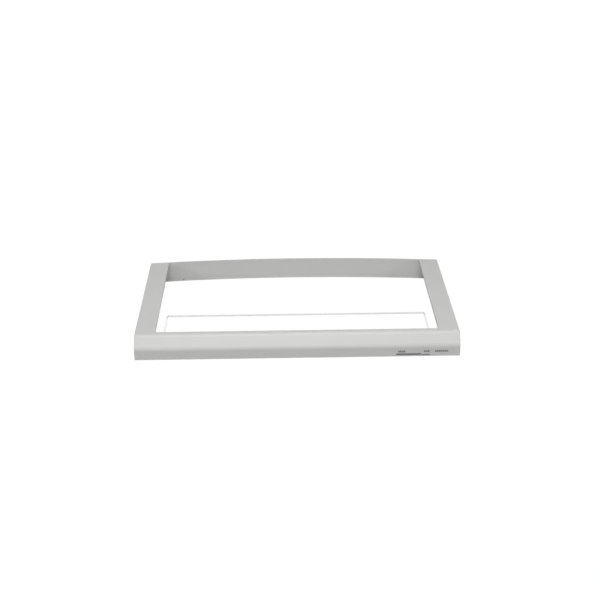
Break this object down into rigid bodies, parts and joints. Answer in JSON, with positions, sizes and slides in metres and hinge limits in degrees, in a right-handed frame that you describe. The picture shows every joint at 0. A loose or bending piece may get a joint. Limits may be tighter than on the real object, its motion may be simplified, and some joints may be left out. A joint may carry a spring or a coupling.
{
  "type": "refrigerator drawer front",
  "caption": "Grey moulded refrigerator drawer front with a rounded nose rail, a wide open window and a clear pane behind it.",
  "frame": {"origin": "centre of the bounding box on the back plane", "axes": "+X along the nose rail, +Y from the nose rail to the bowed far wall, +Z out of the face"},
  "size_m": [0.4, 0.2382, 0.0287],
  "materials": {
    "grey_plastic": "satin",
    "clear_plastic": "clear gloss"
  },
  "bodies": {
    "root": {"drawer_frame": "grey_plastic", "clear_pane": "clear_plastic"}
  },
  "joints": []
}
